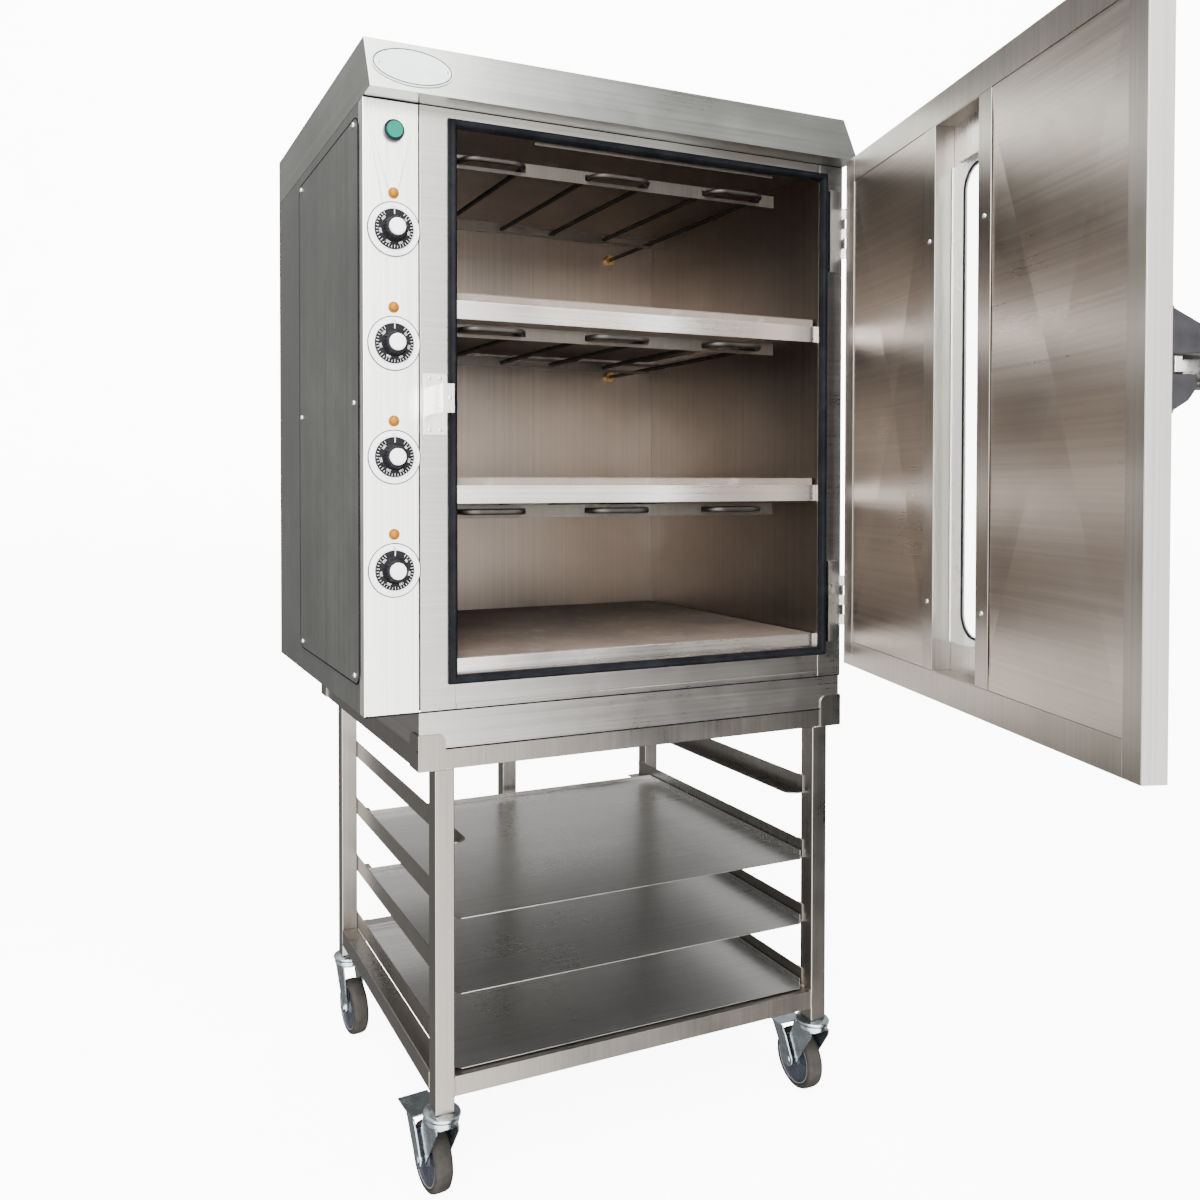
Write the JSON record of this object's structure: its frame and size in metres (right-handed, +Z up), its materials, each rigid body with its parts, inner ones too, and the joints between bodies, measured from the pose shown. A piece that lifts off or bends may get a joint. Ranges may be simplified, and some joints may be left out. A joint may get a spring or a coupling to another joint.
{
  "type": "deck oven on mobile stand",
  "caption": "Electric stainless deck bread oven with baking stones, a hinged windowed door and dial controls, on a castored tray-rack stand.",
  "frame": {"origin": "on the floor, under the middle of the oven body's width and depth", "axes": "+Z up, +X towards the door hinge side, -Y out of the oven's front"},
  "size_m": [0.856, 1.4011, 1.683],
  "materials": {
    "canopy_steel": "brushed",
    "badge_plate": "satin",
    "side_steel": "dark satin brushed",
    "frame_steel": "brushed",
    "panel_steel": "brushed, bright",
    "seal_rubber": "matte",
    "liner_steel": "heat-tinted brushed",
    "mineral_wool": "fibrous",
    "deck_steel": "brushed",
    "stone": "rough fired stone",
    "element_steel": "dark oxidised",
    "brass": "turned",
    "control_parts": "moulded",
    "amber_lens": "translucent gloss",
    "dial_white": "gloss",
    "black_plastic": "moulded",
    "bright_steel": "bright brushed",
    "hinge_steel": "satin",
    "screw_steel": "bright",
    "stand_steel": "brushed, welded",
    "castor_zinc": "bright zinc plate",
    "door_steel": "brushed",
    "door_frame_steel": "brushed",
    "door_inner_steel": "brushed, cross-creased",
    "window_glass": "clear",
    "latch_dark": "satin black",
    "handle_steel": "polished",
    "green_lens": "translucent gloss",
    "knob_black": "moulded",
    "tray_steel": "satin sheet",
    "wheel_rubber": "grey rubber on a plastic hub"
  },
  "bodies": {
    "cabinet": {"canopy": "canopy_steel", "badge_plate": "badge_plate", "casing_upright_panels": "side_steel", "side_access_cover": "side_steel", "casing_back_panel": "side_steel", "casing_floor_and_roof": "side_steel", "plinth_frame": "frame_steel", "control_panel": "panel_steel", "front_frame": "frame_steel", "door_seal": "seal_rubber", "cavity_liner": "liner_steel", "insulation_slabs": "mineral_wool", "deck_frames": "deck_steel", "baking_stones": "stone", "element_supports": "deck_steel", "heating_elements": "element_steel", "element_bushings": "brass", "thermostats": "control_parts", "pilot_lamps": "amber_lens", "dial_rings": "dial_white", "button_bezel": "black_plastic", "cable_gland": "black_plastic", "latch_keeper": "bright_steel", "hinge_body_leaves": "bright_steel", "hinge_pins": "hinge_steel", "panel_screws": "screw_steel", "stand_legs": "stand_steel", "stand_top_frame": "stand_steel", "corner_brackets": "stand_steel", "stand_rails": "stand_steel", "tray_runners": "stand_steel", "castor_heads": "castor_zinc"},
    "door": {"door_outer_pan": "door_steel", "door_inner_frame": "door_frame_steel", "door_inner_panels": "door_inner_steel", "window_strips": "door_frame_steel", "window_glass": "window_glass", "hinge_door_leaves": "hinge_steel", "door_screws": "screw_steel", "latch_bracket": "latch_dark"},
    "latch_handle": {"latch_handle": "handle_steel"},
    "latch_bolt": {"latch_bolt": "bright_steel"},
    "power_button": {"power_button": "green_lens"},
    "dial_1": {"dial_knob_1": "knob_black"},
    "dial_2": {"dial_knob_2": "knob_black"},
    "dial_3": {"dial_knob_3": "knob_black"},
    "dial_4": {"dial_knob_4": "knob_black"},
    "tray_1": {"tray_1": "tray_steel"},
    "tray_2": {"tray_2": "tray_steel"},
    "tray_3": {"tray_3": "tray_steel"},
    "castor_front_left": {"castor_fork_front_left": "castor_zinc"},
    "wheel_front_left": {"castor_wheel_front_left": "wheel_rubber"},
    "castor_front_right": {"castor_fork_front_right": "castor_zinc"},
    "wheel_front_right": {"castor_wheel_front_right": "wheel_rubber"},
    "castor_rear_left": {"castor_fork_rear_left": "castor_zinc"},
    "wheel_rear_left": {"castor_wheel_rear_left": "wheel_rubber"},
    "castor_rear_right": {"castor_fork_rear_right": "castor_zinc"},
    "wheel_rear_right": {"castor_wheel_rear_right": "wheel_rubber"},
    "brake_left": {"brake_pedal_left": "castor_zinc"},
    "brake_right": {"brake_pedal_right": "castor_zinc"}
  },
  "joints": [
    {"name": "door_hinge", "type": "hinge", "parent": "cabinet", "child": "door", "pos_m": [0.426, -0.357, 1.18], "axis": [0, 0, 1], "range_deg": [-72.4, 97.6]},
    {"name": "latch_turn", "type": "hinge", "parent": "door", "child": "latch_handle", "pos_m": [0.24124, -1.02542, 1.181], "axis": [0.9532, -0.3024, 0], "range_deg": [0, 90]},
    {"name": "latch_bolt_slide", "type": "slide", "parent": "door", "child": "latch_bolt", "axis": [-0.3024, -0.9532, 0], "range_m": [0, 0.017]},
    {"name": "power_button_press", "type": "slide", "parent": "cabinet", "child": "power_button", "axis": [0, 1, 0], "range_m": [0, 0.0035], "stiffness_N_per_m": 300},
    {"name": "dial_turn_1", "type": "hinge", "parent": "cabinet", "child": "dial_1", "pos_m": [-0.376, -0.325, 1.421], "axis": [0, 1, 0], "range_deg": [0, 300]},
    {"name": "dial_turn_2", "type": "hinge", "parent": "cabinet", "child": "dial_2", "pos_m": [-0.376, -0.325, 1.2605], "axis": [0, 1, 0], "range_deg": [0, 300]},
    {"name": "dial_turn_3", "type": "hinge", "parent": "cabinet", "child": "dial_3", "pos_m": [-0.376, -0.325, 1.1], "axis": [0, 1, 0], "range_deg": [0, 300]},
    {"name": "dial_turn_4", "type": "hinge", "parent": "cabinet", "child": "dial_4", "pos_m": [-0.376, -0.325, 0.9395], "axis": [0, 1, 0], "range_deg": [0, 300]},
    {"name": "tray_slide_1", "type": "slide", "parent": "cabinet", "child": "tray_1", "axis": [0, -1, 0], "range_m": [0, 0.45]},
    {"name": "tray_slide_2", "type": "slide", "parent": "cabinet", "child": "tray_2", "axis": [0, -1, 0], "range_m": [0, 0.45]},
    {"name": "tray_slide_3", "type": "slide", "parent": "cabinet", "child": "tray_3", "axis": [0, -1, 0], "range_m": [0, 0.45]},
    {"name": "castor_swivel_front_left", "type": "hinge", "parent": "cabinet", "child": "castor_front_left", "pos_m": [-0.3, -0.296, 0.125], "axis": [0, 0, 1], "continuous": true},
    {"name": "wheel_spin_front_left", "type": "hinge", "parent": "castor_front_left", "child": "wheel_front_left", "pos_m": [-0.30251, -0.26009, 0.05], "axis": [-0.9976, -0.0698, 0], "continuous": true},
    {"name": "brake_press_left", "type": "hinge", "parent": "castor_front_left", "child": "brake_left", "pos_m": [-0.30251, -0.26009, 0.05], "axis": [-0.9976, -0.0698, 0], "range_deg": [0, 12]},
    {"name": "castor_swivel_front_right", "type": "hinge", "parent": "cabinet", "child": "castor_front_right", "pos_m": [0.378, -0.296, 0.125], "axis": [0, 0, 1], "continuous": true},
    {"name": "wheel_spin_front_right", "type": "hinge", "parent": "castor_front_right", "child": "wheel_front_right", "pos_m": [0.37926, -0.26002, 0.05], "axis": [-0.9994, 0.0349, 0], "continuous": true},
    {"name": "brake_press_right", "type": "hinge", "parent": "castor_front_right", "child": "brake_right", "pos_m": [0.37926, -0.26002, 0.05], "axis": [-0.9994, 0.0349, 0], "range_deg": [0, 12]},
    {"name": "castor_swivel_rear_left", "type": "hinge", "parent": "cabinet", "child": "castor_rear_left", "pos_m": [-0.3, 0.2667, 0.125], "axis": [0, 0, 1], "continuous": true},
    {"name": "wheel_spin_rear_left", "type": "hinge", "parent": "castor_rear_left", "child": "wheel_rear_left", "pos_m": [-0.29749, 0.23079, 0.05], "axis": [0.9976, 0.0698, 0], "continuous": true},
    {"name": "castor_swivel_rear_right", "type": "hinge", "parent": "cabinet", "child": "castor_rear_right", "pos_m": [0.378, 0.2667, 0.125], "axis": [0, 0, 1], "continuous": true},
    {"name": "wheel_spin_rear_right", "type": "hinge", "parent": "castor_rear_right", "child": "wheel_rear_right", "pos_m": [0.3611, 0.23491, 0.05], "axis": [0.8829, -0.4695, 0], "continuous": true}
  ],
  "couplings": [
    {"joint": "latch_bolt_slide", "follows": "latch_turn", "m_per_rad": 0.010822}
  ]
}
